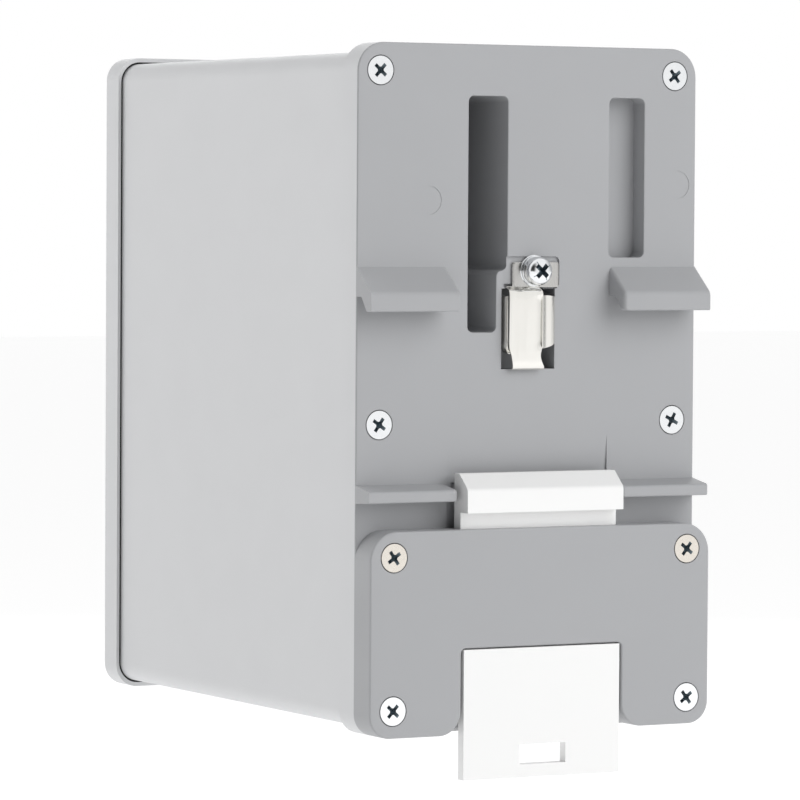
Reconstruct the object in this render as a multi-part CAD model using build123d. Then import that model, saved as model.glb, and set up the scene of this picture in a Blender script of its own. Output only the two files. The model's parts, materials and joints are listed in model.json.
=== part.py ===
from build123d import *
import os

# Rail-mounted industrial network switch.
# Frame: origin at the centre of the rail seat on the back plate's outer face, +Z up,
# +Y out of the back towards the rail, the front face looks along -Y. Millimetres.

# ---------------------------------------------------------------- driving dimensions
# housing tube and back plate
BODY_HALF_W = 36.7
BODY_HALF_H = 63.25
BODY_CORNER = 3.8
BODY_FRONT = -104.0
PLATE_HALF_W = 36.9
PLATE_TOP = 65.0
PLATE_FOOT = -64.6
PLATE_TOP_CORNER = 5.5
PLATE_FOOT_CORNER = 4.3
PLATE_THICK = 3.2
PLATE_SKIRT = 6.0
REGISTER_DEPTH = 3.0
WALL = 2.5

# front bezel
BEZEL_HALF_W = 37.7
BEZEL_HALF_H = 64.45
BEZEL_CORNER = 4.6
BEZEL_FRONT = -109.1
BEZEL_REAR = -103.0
GASKET_WIDTH = 0.4
GASKET_FLOOR = BODY_FRONT - 0.5
OVERLAY_HALF_W = 33.5
OVERLAY_HALF_H = 59.5
OVERLAY_BACK = BEZEL_FRONT + 1.2
OVERLAY_FRONT = BEZEL_FRONT + 0.2

# rail seat for a 35 mm top-hat rail: section points as (y, z, corner radius)
HOOK_SECTION = ((-1.0, 23.93, 0), (5.85, 18.25, 1.6), (5.85, 14.85, 0.35), (4.0, 14.85, 0.35),
                (1.86, 17.55, 0), (-1.0, 17.65, 0))
LEDGE_SECTION = ((-1.0, -17.47, 0), (5.3, -18.6, 0.6), (5.3, -20.75, 0.35), (-1.0, -21.05, 0))
HOOK_INNER_X = 17.7
LEDGE_INNER_X = 18.1
HOOK_END_R = 0.8
LEDGE_END_R = 0.4

# latch block, cover and sliding foot
BLOCK_TOP = -26.0
BLOCK_DEPTH = 4.2
COVER_FACE = 6.08
COVER_CORNER = 5.6
NOTCH_HALF_W = 17.5
NOTCH_TOP = -48.35
NOTCH_FLARE = 4.5
LATCH_HALF_W = 16.95
LATCH_BACK = 2.0
LATCH_FACE = 4.4
LATCH_CREASE_R = 1.2
LATCH_TAB_BOTTOM = -73.15
LATCH_CHANNEL_HALF_W = 17.45
LATCH_CHANNEL_FLOOR = -0.4
LATCH_RAMP_TOP = -9.0
LATCH_RAMP_FOOT = -15.2
SPRING_BAY_HALF_W = 16.5
SPRING_BAY_FLOOR = -1.2
SPRING_BAY_TOP = -17.5
SPRING_X = 8.0
SPRING_Y = 0.95
SPRING_RADIUS = 1.55
SPRING_WIRE = 0.3
SPRING_TOP = -33.0
SPRING_SEAT = -47.0
SPRING_TURNS = 9

# slots in the back plate
DEEP_SLOT_BOTTOM_Y = -30.0
SHALLOW_SLOT_Y = -4.0
SLOT_CORNER = 1.15
SLOT_RIM_R = 0.2

# earth contact
EARTH_X = -1.15
EARTH_Z = 22.35
CONTACT_THICK = 0.4
FOOT_X = (-6.45, 3.65)
FOOT_Z = (19.9, 24.0)
NECK_X = (-2.5, 4.5)
TONGUE_X = (-3.4, 3.5)
WING_X = (-5.4, 5.1)
EARTH_RECESS_X = (-6.65, 5.74)
EARTH_RECESS_Z = (19.0, 25.1)
WINDOW_X = (-5.7, 5.85)
WINDOW_Z = (3.75, 19.0)
FLAT_WASHER_R = 3.2
SPRING_WASHER_R = 2.95

# fasteners
M3_R = 1.5
M3_CLEAR_R = 1.7
HEAD_R = 2.75
HEAD_DEPTH = 1.65
INSERT_R = 2.1
INSERT_BORE_R = 1.55
PLATE_SCREWS = ((32.1, 59.75), (-32.1, 59.75), (32.0, -6.4), (-32.0, -6.4))
LONG_SCREWS = ((32.0, -59.5), (-32.0, -59.5))
COVER_SCREWS = ((31.9, -30.9), (-31.9, -30.9))
FRONT_SCREWS = ((30.2, 56.9), (-30.2, 56.9), (30.2, -56.9), (-30.2, -56.9))
SCREW_TURNS = (48, 38, 55, 62)

# board stack, from the front
BOARD_HALF_W = 33.6
BOARD_HALF_H = 60.2
BOARD_THICK = 1.6
PORT_BOARD_Y = -91.6
LOGIC_BOARD_Y = -65.4
POWER_BOARD_Y = -35.8
STANDOFF_FLATS = 5.5

# front connectors
JACK_W = 16.2
JACK_H = 13.6
JACK_FACE = BEZEL_FRONT + 1.3
JACK_COLUMNS = (-19.0, 19.0)
JACK_ROWS = (24.0, 6.0, -12.0, -30.0)
PLUG_CAVITY_W = 11.8
PLUG_CAVITY_H = 7.4
PLUG_CAVITY_DEPTH = 12.5
CONSOLE_X = -17.0
USB_X = 17.0
SERVICE_Z = -50.0
DIP_X = 20.0
DIP_Z = 46.5
DIP_PITCH = 2.54
DIP_FACE = -106.2
POWER_X = -8.0
POWER_Z = 49.5
POWER_PITCH = 5.08
POWER_WAYS = 6
PLUG_FACE = -109.0
LIGHT_R = 1.1
STATUS_Z = 38.5
STATUS_XS = (-27.0, -21.0, -15.0, -9.0, -3.0, 3.0)
PORT_LIGHT_X = 5.5
PORT_LIGHT_DZ = 3.0


# ---------------------------------------------------------------- helpers
def block(x, y, z):
    """Box between two corners, each axis given as (low, high)."""
    size = [axis[1] - axis[0] for axis in (x, y, z)]
    middle = [(axis[0] + axis[1]) / 2 for axis in (x, y, z)]
    return Pos(*middle) * Box(*size)


def along_y(outline, y0, y1):
    """Extrude an X-Z outline from y0 to y1."""
    return extrude(Plane.XZ.offset(-y1) * outline, y1 - y0)


def along_x(points, x0, x1):
    """Extrude a Y-Z outline, given as points, from x0 to x1."""
    outline = make_face(Polyline(*points, close=True))
    return extrude(Plane.YZ.offset(x0) * outline, x1 - x0)


def rod(x, z, radius, y0, y1):
    return along_y(Pos(x, z) * Circle(radius), y0, y1)


def rounded(half_w, half_h, corner):
    return RectangleRounded(2 * half_w, 2 * half_h, corner)


def rectangle_between(x, z, corner=0.0):
    """Rectangle in the X-Z outline plane, each axis given as (low, high)."""
    middle = Pos((x[0] + x[1]) / 2, (z[0] + z[1]) / 2)
    if corner:
        return middle * RectangleRounded(x[1] - x[0], z[1] - z[0], corner)
    return middle * Rectangle(x[1] - x[0], z[1] - z[0])


def cross_recess(depth, width=3.0):
    """Cruciform driver recess, tapered to a point, opening at Y = 0."""
    wings = Box(width, 2 * depth, 0.8) + Box(0.8, 2 * depth, width)
    taper = Rot(90, 0, 0) * Cone(0.35, width / 2 + 0.05, depth, align=(Align.CENTER, Align.CENTER, Align.MAX))
    return wings & (Rot(180, 0, 0) * taper)


def countersunk_screw(x, face_y, z, length, turn):
    """M3 countersunk cross-recess screw, head flush with face_y, shank along -Y."""
    profile = Polyline((0, 0), (HEAD_R - 0.1, 0), (HEAD_R, -0.12), (HEAD_R, -0.3), (M3_R, -HEAD_DEPTH),
                       (M3_R, -length + 0.5), (M3_R - 0.5, -length), (0, -length), close=True)
    screw = revolve(make_face(profile), Axis.Y)
    screw = screw - Rot(0, turn, 0) * cross_recess(1.5)
    return Pos(x, face_y, z) * screw


def pan_screw(x, seat_y, z, length, turn, direction=1, head_r=2.8, head_h=2.3, shank_r=M3_R):
    """Pan-head cross-recess screw whose head stands on seat_y and points along direction * Y."""
    dome = [(0, head_h), (head_r * 0.55, head_h), (head_r * 0.85, head_h * 0.82), (head_r, head_h * 0.45),
            (head_r, 0), (shank_r, 0), (shank_r, -length), (0, -length)]
    screw = revolve(make_face(Polyline(*dome, close=True)), Axis.Y)
    screw = screw - Pos(0, head_h, 0) * Rot(0, turn, 0) * cross_recess(1.4, head_r)
    if direction < 0:
        screw = Rot(180, 0, 0) * screw
    return Pos(x, seat_y, z) * screw


def countersink(x, face_y, z, depth_y):
    """Clearance hole with a head seat that opens at face_y."""
    cone_bottom = face_y - HEAD_DEPTH - 0.1
    profile = Polyline((0, face_y + 1), (HEAD_R + 0.12, face_y + 1), (HEAD_R + 0.12, face_y - 0.32),
                       (M3_CLEAR_R, cone_bottom), (M3_CLEAR_R, depth_y), (0, depth_y), close=True)
    return Pos(x, 0, z) * revolve(make_face(profile), Axis.Y)


def insert(x, z, y0, y1):
    """Knurl-less brass threaded insert."""
    return rod(x, z, INSERT_R, y0, y1) - rod(x, z, INSERT_BORE_R, y0 - 1, y1 + 1)


def hexagon(flats):
    return RegularPolygon(flats / 2, 6, major_radius=False)


def group(solids):
    return Compound(children=list(solids))


PARTS = {}


def keep(name, shape):
    PARTS[name] = shape


# ---------------------------------------------------------------- housing tube
def make_housing():
    outside = along_y(rounded(BODY_HALF_W, BODY_HALF_H, BODY_CORNER), BODY_FRONT, -PLATE_SKIRT)
    inside = rounded(BODY_HALF_W - WALL, BODY_HALF_H - WALL, BODY_CORNER - WALL)
    shell = outside - along_y(inside, BODY_FRONT - 1, 0)
    rear_bosses = [rod(x, z, 3.9, -15.0, -PLATE_SKIRT) for x, z in PLATE_SCREWS + LONG_SCREWS]
    front_bosses = [rod(x, z, 4.1, BODY_FRONT, PORT_BOARD_Y) for x, z in FRONT_SCREWS]
    for boss in rear_bosses + front_bosses:
        shell = shell + (boss & outside)
    for x, z in PLATE_SCREWS + LONG_SCREWS:
        shell = shell - rod(x, z, INSERT_R, -12.2, 0) - rod(x, z, M3_CLEAR_R, -14.2, 0)
    for x, z in FRONT_SCREWS:
        shell = shell - rod(x, z, INSERT_R, BODY_FRONT - 1, PORT_BOARD_Y + 1)
    return shell


keep("housing_shell", make_housing())
insert_places = [(x, z, -12.2) for x, z in PLATE_SCREWS + LONG_SCREWS]
insert_places += [(x, z, y) for x, z in FRONT_SCREWS for y in (BODY_FRONT + 0.3, PORT_BOARD_Y - 5.8)]
keep("housing_inserts", group(insert(x, z, y, y + 5.5) for x, z, y in insert_places))


# ---------------------------------------------------------------- back plate
def upright_outline(top, top_corner):
    """Plate-wide rectangle from the plate's foot up to top, with its own radius at each end."""
    outline = rectangle_between((-PLATE_HALF_W, PLATE_HALF_W), (PLATE_FOOT, top))
    outline = fillet([v for v in outline.vertices() if v.Y < top - 1], PLATE_FOOT_CORNER)
    return fillet([v for v in outline.vertices() if v.Y > top - 0.01], top_corner)


def block_outline():
    """Outline shared by the raised latch block and its cover, open at the bottom for the foot."""
    outline = upright_outline(BLOCK_TOP, COVER_CORNER)
    notch = rectangle_between((-NOTCH_HALF_W, NOTCH_HALF_W), (PLATE_FOOT - 10, NOTCH_TOP))
    outline = outline - notch
    flare = [v for v in outline.vertices() if abs(v.Y - PLATE_FOOT) < 0.01
             and abs(abs(v.X) - NOTCH_HALF_W) < 0.01]
    outline = fillet(flare, NOTCH_FLARE)
    inner = [v for v in outline.vertices() if abs(v.Y - NOTCH_TOP) < 0.01
             and abs(abs(v.X) - NOTCH_HALF_W) < 0.01]
    return fillet(inner, 1.0)


def section(points):
    """Face in the Y-Z plane from (y, z, corner radius) points."""
    face = make_face(Polyline(*[(y, z) for y, z, _ in points], close=True))
    for y, z, radius in points:
        if radius:
            face = fillet(face.vertices().sort_by_distance((y, z, 0))[0], radius)
    return face


def rail_arm(points, inner_x, end_radius):
    """Hook or ledge on the +X side, from inner_x to the plate's side, its inner end rounded."""
    arm = extrude(Plane.YZ.offset(inner_x) * section(points), PLATE_HALF_W - inner_x)
    end_edges = arm.faces().sort_by(Axis.X)[0].edges()
    outer = [edge for face in arm.faces() if face.normal_at().Y > 0.5 for edge in face.edges()]
    return fillet([edge for edge in end_edges if edge in outer], end_radius)


def rim_edges(plate, outline):
    """Edges of a pocket's mouth in the plate's face."""
    box = outline.bounding_box()
    near = plate.edges().filter_by_position(Axis.Y, -0.01, 0.01)
    near = near.filter_by_position(Axis.X, box.min.X - 0.1, box.max.X + 0.1)
    return near.filter_by_position(Axis.Z, box.min.Z - 0.1, box.max.Z + 0.1)


def deep_slot_outline():
    outline = make_face(Polyline((13.23, 10.73), (7.1, 10.73), (7.1, 22.4), (4.72, 22.4),
                                 (4.72, 55.3), (13.23, 55.3), close=True))
    return fillet(outline.vertices(), SLOT_CORNER)


def make_back_plate():
    plate = along_y(upright_outline(PLATE_TOP, PLATE_TOP_CORNER), -PLATE_SKIRT, 0)
    face_edges = plate.faces().sort_by(Axis.Y)[-1].edges()
    plate = fillet(face_edges, 0.3)
    # hollow behind the face, with a register that drops inside the housing tube
    register_w = BODY_HALF_W - WALL - 0.15
    register_h = BODY_HALF_H - WALL - 0.15
    hollow = rounded(register_w - 1.6, register_h - 1.6, 1.0)
    plate = plate - along_y(hollow, -PLATE_SKIRT - 1, -PLATE_THICK)
    register_outline = rounded(register_w, register_h, 1.1) - hollow
    register = along_y(register_outline, -PLATE_SKIRT - REGISTER_DEPTH, -PLATE_SKIRT)
    for x, z in PLATE_SCREWS + LONG_SCREWS:
        plate = plate + rod(x, z, 4.3, -PLATE_SKIRT, -PLATE_THICK)
        register = register - rod(x, z, 4.3, -PLATE_SKIRT - REGISTER_DEPTH - 1, 0)
    plate = plate + register

    # deep slot stands inward as a closed pocket
    pocket = offset(deep_slot_outline(), 1.5)
    plate = plate + along_y(pocket, DEEP_SLOT_BOTTOM_Y - 1.5, -PLATE_THICK)
    shallow = rectangle_between((-25.36, -17.55), (24.9, 55.35), SLOT_CORNER)
    plate = plate + along_y(offset(shallow, 1.5), SHALLOW_SLOT_Y - 1.5, -PLATE_THICK)
    window = rectangle_between(WINDOW_X, WINDOW_Z)
    plate = plate + along_y(offset(window, 1.2), -7.2, -PLATE_THICK)
    plate = plate + rod(EARTH_X, EARTH_Z, 3.4, -12.0, -PLATE_THICK)
    plate = plate - along_y(deep_slot_outline(), DEEP_SLOT_BOTTOM_Y, 1)
    plate = plate - along_y(shallow, SHALLOW_SLOT_Y, 1)
    plate = plate - along_y(window, -6.0, 1)
    for outline in (deep_slot_outline(), shallow):
        plate = fillet(rim_edges(plate, along_y(outline, -1, 0)), SLOT_RIM_R)

    # raised latch block and the channel that the foot slides in
    raised = along_y(block_outline(), -0.5, BLOCK_DEPTH)
    plate = plate + raised
    channel = [(LATCH_CHANNEL_FLOOR, LATCH_RAMP_FOOT), (0, LATCH_RAMP_TOP), (9, LATCH_RAMP_TOP),
               (9, -70), (LATCH_CHANNEL_FLOOR, -70)]
    backing = block((-LATCH_CHANNEL_HALF_W - 1.5, LATCH_CHANNEL_HALF_W + 1.5), (-4.4, -2.0), (-60.4, -8.0))
    plate = plate + backing
    plate = plate - along_x(channel, -LATCH_CHANNEL_HALF_W, LATCH_CHANNEL_HALF_W)
    bay_x = (-SPRING_BAY_HALF_W, SPRING_BAY_HALF_W)
    plate = plate - block(bay_x, (SPRING_BAY_FLOOR, 1), (-70, SPRING_BAY_TOP))
    for side in (-1, 1):
        rail_x = sorted((side * 13.0, side * 15.0))
        plate = plate + block(rail_x, (SPRING_BAY_FLOOR - 0.2, LATCH_BACK - 0.1), (-62.0, -24.0))
        seat_x = sorted((side * (SPRING_X - 1.7), side * (SPRING_X + 1.7)))
        plate = plate + block(seat_x, (SPRING_BAY_FLOOR - 0.2, 2.7), (SPRING_SEAT - 2.2, SPRING_SEAT))

    # fixed hooks over the rail's upper edge, ledges under its lower edge
    for arm in (rail_arm(HOOK_SECTION, HOOK_INNER_X, HOOK_END_R),
                rail_arm(LEDGE_SECTION, LEDGE_INNER_X, LEDGE_END_R)):
        plate = plate + arm
        plate = plate + mirror(arm, Plane.YZ)

    # recess for the earth contact's foot and its neck, ejector marks, screw seats
    plate = plate - along_y(rectangle_between(EARTH_RECESS_X, EARTH_RECESS_Z, 1.0), -CONTACT_THICK, 1)
    plate = plate - block((NECK_X[0] - 0.7, NECK_X[1] + 0.7), (-1.4, 1), (18.0, FOOT_Z[0]))
    plate = plate - rod(EARTH_X, EARTH_Z, INSERT_R, -9.5, 1) - rod(EARTH_X, EARTH_Z, M3_CLEAR_R, -11.0, 1)
    plate = plate - (rod(21.7, 35.6, 2.7, -0.08, 1) + rod(-32.8, 38.9, 2.7, -0.08, 1))
    for x, z in PLATE_SCREWS:
        plate = plate - countersink(x, 0, z, -8)
    for x, z in LONG_SCREWS:
        plate = plate - rod(x, z, M3_CLEAR_R, -8, 9)
    for x, z in COVER_SCREWS:
        plate = plate - rod(x, z, INSERT_R, -2.4, 9)
    return plate


keep("back_plate", make_back_plate())


def make_cover():
    cover = along_y(block_outline(), BLOCK_DEPTH, COVER_FACE)
    face_edges = cover.faces().sort_by(Axis.Y)[-1].edges()
    cover = fillet(face_edges, 0.35)
    relief = block((-LATCH_CHANNEL_HALF_W, LATCH_CHANNEL_HALF_W), (BLOCK_DEPTH - 1, LATCH_FACE + 0.12),
                   (NOTCH_TOP - 2, BLOCK_TOP + 1))
    cover = cover - relief
    for x, z in COVER_SCREWS + LONG_SCREWS:
        cover = cover - countersink(x, COVER_FACE, z, BLOCK_DEPTH - 1)
    return cover


keep("latch_cover", make_cover())
keep("cover_inserts", group(insert(x, z, -2.3, 3.9) for x, z in COVER_SCREWS))


# ---------------------------------------------------------------- sliding rail latch
def make_latch():
    profile = [(LATCH_BACK, -15.6), (3.85, -15.6), (7.2, -18.55), (7.2, -22.9), (LATCH_FACE, -22.9),
               (LATCH_FACE, -48.6), (6.1, -48.6), (6.1, LATCH_TAB_BOTTOM), (4.0, LATCH_TAB_BOTTOM),
               (4.0, -52.0), (LATCH_BACK, -52.0)]
    latch = along_x(profile, -LATCH_HALF_W, LATCH_HALF_W)
    crease = [e for e in latch.edges().filter_by(Axis.X) if abs(e.center().Z + 18.55) < 0.01]
    latch = fillet(crease, LATCH_CREASE_R)
    for side in (-1, 1):
        groove_x = sorted((side * (SPRING_X - 2.0), side * (SPRING_X + 2.0)))
        latch = latch - block(groove_x, (LATCH_BACK - 1, 3.0), (-53, SPRING_TOP))
        pusher_x = sorted((side * (SPRING_X - 1.8), side * (SPRING_X + 1.8)))
        latch = latch + block(pusher_x, (-0.9, LATCH_BACK + 0.1), (SPRING_TOP, SPRING_TOP + 2.5))
    return latch - block((-5.2, 4.8), (3, 8), (-70.7, -66.9))


def make_spring(x):
    height = SPRING_TOP - SPRING_SEAT - 2 * SPRING_WIRE - 0.1
    path = Helix(height / SPRING_TURNS, height, SPRING_RADIUS)
    start = path @ 0
    wire = sweep(Plane(origin=start, z_dir=path % 0) * Circle(SPRING_WIRE), path=path)
    return Pos(x, SPRING_Y, SPRING_SEAT + SPRING_WIRE + 0.05) * wire


keep("rail_latch", make_latch())
keep("latch_springs", group(make_spring(x) for x in (-SPRING_X, SPRING_X)))


# ---------------------------------------------------------------- earth contact
def make_contact_base():
    foot = block(FOOT_X, (-CONTACT_THICK, 0), FOOT_Z)
    return foot - rod(EARTH_X, EARTH_Z, M3_CLEAR_R, -2, 2)


def make_contact_leaf():
    """Bent strip: neck, shoulders, a tongue that ends in the window, and a flange down each side."""
    t = CONTACT_THICK
    neck_top = FOOT_Z[0] - 0.1
    outer = [(0, neck_top), (0, 19.1), (0.5, 18.85), (1.35, 18.3), (1.75, 14.0), (1.55, 9.0),
             (0.0, 4.2), (-0.9, 3.95)]
    inner = [(-0.9, 4.35), (-0.4, 4.2), (1.15, 9.0), (1.35, 14.0), (0.95, 18.0), (0.1, 18.5),
             (-t, 18.8), (-t, neck_top)]
    leaf = along_x(outer + inner, TONGUE_X[0], NECK_X[1])
    leaf = leaf - block((TONGUE_X[0] - 1, NECK_X[0]), (-2, 3), (17.6, 21))
    leaf = leaf - block((TONGUE_X[1], NECK_X[1] + 1), (-2, 3), (3, 7.6))
    flange = [(1.25, 17.6), (1.6, 14.0), (1.4, 9.0), (0.4, 7.8), (-1.0, 8.4), (-1.0, 17.2)]
    leaf = leaf + block((WING_X[0], WING_X[1] + t), (0.95, 1.35), (8.6, 17.4))
    for x in WING_X:
        leaf = leaf + along_x(flange, x, x + t)
    return leaf


def make_spring_washer():
    """Split ring with its gap across one side."""
    ring = rod(EARTH_X, EARTH_Z, SPRING_WASHER_R, 0.5, 1.2) - rod(EARTH_X, EARTH_Z, 1.6, 0, 2)
    return ring - Pos(EARTH_X, 0.85, EARTH_Z) * Rot(0, 40, 0) * Pos(2.2, 0, 0) * Box(2.4, 3, 0.5)


keep("earth_contact_base", make_contact_base())
keep("earth_contact_leaf", make_contact_leaf())
keep("earth_flat_washer", rod(EARTH_X, EARTH_Z, FLAT_WASHER_R, 0, 0.5) - rod(EARTH_X, EARTH_Z, 1.6, -1, 1))
keep("earth_spring_washer", make_spring_washer())
keep("earth_screw", pan_screw(EARTH_X, 1.2, EARTH_Z, 11.0, 20, head_r=2.55, head_h=2.3))
keep("earth_insert", insert(EARTH_X, EARTH_Z, -9.4, -1.4))

# ---------------------------------------------------------------- rear fasteners
keep("plate_screws", group(countersunk_screw(x, 0, z, 12.0, turn)
                           for (x, z), turn in zip(PLATE_SCREWS, SCREW_TURNS)))
keep("long_plate_screws", group(countersunk_screw(x, COVER_FACE, z, 18.0, turn)
                                for (x, z), turn in zip(LONG_SCREWS, (35, 52))))
keep("cover_screws", group(countersunk_screw(x, COVER_FACE, z, 8.2, turn)
                           for (x, z), turn in zip(COVER_SCREWS, (44, 40))))


# ---------------------------------------------------------------- front bezel and overlay
def front_cutouts(margin):
    """Openings in the bezel floor for everything that reaches the front, grown by margin."""
    openings = []
    for x in JACK_COLUMNS:
        for z in JACK_ROWS:
            openings.append(Pos(x, z) * Rectangle(JACK_W + 2 * margin, JACK_H + 2 * margin))
    openings.append(Pos(CONSOLE_X, SERVICE_Z) * Rectangle(13.2 + 2 * margin, 12.2 + 2 * margin))
    openings.append(Pos(USB_X, SERVICE_Z) * Rectangle(14.4 + 2 * margin, 7.0 + 2 * margin))
    openings.append(Pos(DIP_X, DIP_Z) * Rectangle(7.6 + 2 * margin, 9.0 + 2 * margin))
    power_w = POWER_WAYS * POWER_PITCH + 4.2
    openings.append(Pos(POWER_X, POWER_Z) * Rectangle(power_w + 2 * margin, 12.6 + 2 * margin))
    for x, z in light_places():
        openings.append(Pos(x, z) * Circle(LIGHT_R + margin))
    return openings


def light_places():
    places = [(x, STATUS_Z) for x in STATUS_XS]
    for side in (-1, 1):
        for row in JACK_ROWS:
            places.append((side * PORT_LIGHT_X, row + PORT_LIGHT_DZ))
            places.append((side * PORT_LIGHT_X, row - PORT_LIGHT_DZ))
    return places


def make_bezel():
    bezel = along_y(rounded(BEZEL_HALF_W, BEZEL_HALF_H, BEZEL_CORNER), BEZEL_FRONT, BEZEL_REAR)
    bezel = fillet(bezel.faces().sort_by(Axis.Y)[0].edges(), 0.5)
    pocket = rounded(BODY_HALF_W + GASKET_WIDTH, BODY_HALF_H + GASKET_WIDTH, BODY_CORNER + GASKET_WIDTH)
    bezel = bezel - along_y(pocket, GASKET_FLOOR, BEZEL_REAR + 1)
    overlay = rounded(OVERLAY_HALF_W, OVERLAY_HALF_H, 4.0)
    bezel = bezel - along_y(overlay, BEZEL_FRONT - 1, OVERLAY_BACK)
    for opening in front_cutouts(0.15):
        bezel = bezel - along_y(opening, BEZEL_FRONT - 1, BEZEL_REAR + 3)
    for x, z in FRONT_SCREWS:
        bezel = bezel - Rot(180, 0, 0) * countersink(x, -OVERLAY_BACK, -z, 100)
    return bezel


def make_gasket():
    outer = rounded(BODY_HALF_W + GASKET_WIDTH, BODY_HALF_H + GASKET_WIDTH, BODY_CORNER + GASKET_WIDTH)
    tube = rounded(BODY_HALF_W, BODY_HALF_H, BODY_CORNER)
    bore = rounded(BODY_HALF_W - WALL, BODY_HALF_H - WALL, BODY_CORNER - WALL)
    gasket = along_y(outer, GASKET_FLOOR, BEZEL_REAR - 0.25) - along_y(tube, BODY_FRONT, BEZEL_REAR + 1)
    gasket = gasket - along_y(bore, BEZEL_FRONT - 1, BEZEL_REAR + 3)
    for x, z in FRONT_SCREWS:
        gasket = gasket - rod(x, z, 4.1, BEZEL_FRONT - 1, BEZEL_REAR + 3)
    return gasket


def make_overlay():
    film = rounded(OVERLAY_HALF_W - 0.15, OVERLAY_HALF_H - 0.15, 3.85)
    overlay = along_y(film, OVERLAY_FRONT, OVERLAY_BACK)
    for opening in front_cutouts(0.15)[:-len(light_places())]:
        overlay = overlay - along_y(opening, BEZEL_FRONT - 1, BEZEL_REAR + 3)
    for x, z in light_places():
        overlay = overlay - rod(x, z, LIGHT_R + 0.1, BEZEL_FRONT - 1, BEZEL_REAR + 3)
    for x, z in FRONT_SCREWS:
        overlay = overlay - rod(x, z, 3.1, BEZEL_FRONT - 1, BEZEL_REAR + 3)
    return overlay


keep("front_bezel", make_bezel())
keep("bezel_gasket", make_gasket())
keep("front_panel", make_overlay())
keep("front_screws", group(Rot(180, 0, 0) * countersunk_screw(x, -OVERLAY_BACK, -z, 9.2, turn)
                           for (x, z), turn in zip(FRONT_SCREWS, (12, 70, 33, 51))))


# ---------------------------------------------------------------- front connectors
def make_port_jack(x, z):
    """Shielded eight-way jack: open to the front, with the plug's latch notch below."""
    jack = block((x - JACK_W / 2, x + JACK_W / 2), (JACK_FACE, PORT_BOARD_Y),
                 (z - JACK_H / 2, z + JACK_H / 2))
    depth = (JACK_FACE - 1, JACK_FACE + PLUG_CAVITY_DEPTH)
    half = PLUG_CAVITY_W / 2
    top = z + PLUG_CAVITY_H / 2 + 0.8
    jack = jack - block((x - half, x + half), depth, (top - PLUG_CAVITY_H, top))
    jack = jack - block((x - 3.1, x + 3.1), depth, (top - PLUG_CAVITY_H - 2.0, top))
    return jack - block((x - 1.7, x + 1.7), depth, (top - PLUG_CAVITY_H - 3.2, top))


jack_number = 0
for jack_z in JACK_ROWS:
    for jack_x in JACK_COLUMNS:
        jack_number += 1
        keep(f"port_jack_{jack_number}", make_port_jack(jack_x, jack_z))


def make_console_jack():
    x = CONSOLE_X
    z = SERVICE_Z
    jack = block((x - 6.6, x + 6.6), (JACK_FACE, PORT_BOARD_Y), (z - 6.1, z + 6.1))
    depth = (JACK_FACE - 1, JACK_FACE + 11.5)
    jack = jack - block((x - 4.9, x + 4.9), depth, (z - 2.8, z + 4.1))
    return jack - block((x - 2.0, x + 2.0), depth, (z - 4.8, z + 4.1))


def make_usb_socket():
    x = USB_X
    z = SERVICE_Z
    shell = block((x - 7.2, x + 7.2), (JACK_FACE, PORT_BOARD_Y), (z - 3.5, z + 3.5))
    shell = shell - block((x - 6.3, x + 6.3), (JACK_FACE - 1, JACK_FACE + 11.0), (z - 2.6, z + 2.6))
    return shell + block((x - 5.6, x + 5.6), (JACK_FACE + 0.9, JACK_FACE + 11.5), (z + 0.3, z + 2.1))


keep("console_jack", make_console_jack())
keep("usb_socket", make_usb_socket())


def make_dip_body():
    x = DIP_X
    z = DIP_Z
    body = block((x - 3.8, x + 3.8), (DIP_FACE, PORT_BOARD_Y), (z - 4.5, z + 4.5))
    for side in (-1, 1):
        middle = x + side * DIP_PITCH / 2
        body = body - block((middle - 0.75, middle + 0.75), (DIP_FACE - 1, DIP_FACE + 2.4),
                            (z - 2.1, z + 2.1))
    return body


def make_dip_lever(side):
    """One slide lever of the two-way switch, at rest in its lower position."""
    middle = DIP_X + side * DIP_PITCH / 2
    lever = block((middle - 0.65, middle + 0.65), (DIP_FACE - 0.7, DIP_FACE + 2.3),
                  (DIP_Z - 1.95, DIP_Z + 0.05))
    return chamfer(lever.faces().sort_by(Axis.Y)[0].edges(), 0.2)


keep("dip_switch_body", make_dip_body())
keep("dip_lever_1", make_dip_lever(-1))
keep("dip_lever_2", make_dip_lever(1))

# supply plug and its shrouded header
POWER_HALF_W = POWER_WAYS * POWER_PITCH / 2 + 2.1
POWER_HALF_H = 6.3
way_xs = [POWER_X + (i - (POWER_WAYS - 1) / 2) * POWER_PITCH for i in range(POWER_WAYS)]


def make_power_header():
    body = block((POWER_X - POWER_HALF_W, POWER_X + POWER_HALF_W), (JACK_FACE + 2.4, PORT_BOARD_Y),
                 (POWER_Z - POWER_HALF_H, POWER_Z + POWER_HALF_H))
    inner_w = POWER_HALF_W - 1.2
    inner_h = POWER_HALF_H - 1.1
    return body - block((POWER_X - inner_w, POWER_X + inner_w), (BEZEL_FRONT - 1, PORT_BOARD_Y - 2.6),
                        (POWER_Z - inner_h, POWER_Z + inner_h))


def make_power_plug():
    half_w = POWER_HALF_W - 1.4
    half_h = POWER_HALF_H - 1.3
    body = block((POWER_X - half_w, POWER_X + half_w), (PLUG_FACE, PORT_BOARD_Y - 3.2),
                 (POWER_Z - half_h, POWER_Z + half_h))
    for x in way_xs:
        body = body - block((x - 1.5, x + 1.5), (PLUG_FACE - 1, PLUG_FACE + 4.4),
                            (POWER_Z - 4.2, POWER_Z - 1.2))
        body = body - block((x - 0.8, x + 0.8), (PLUG_FACE + 6.9, PORT_BOARD_Y),
                            (POWER_Z - 1.6, POWER_Z + 0.0))
        body = body - rod(x, POWER_Z + 2.0, 1.6, PLUG_FACE - 1, PLUG_FACE + 3.5)
    return body


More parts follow.
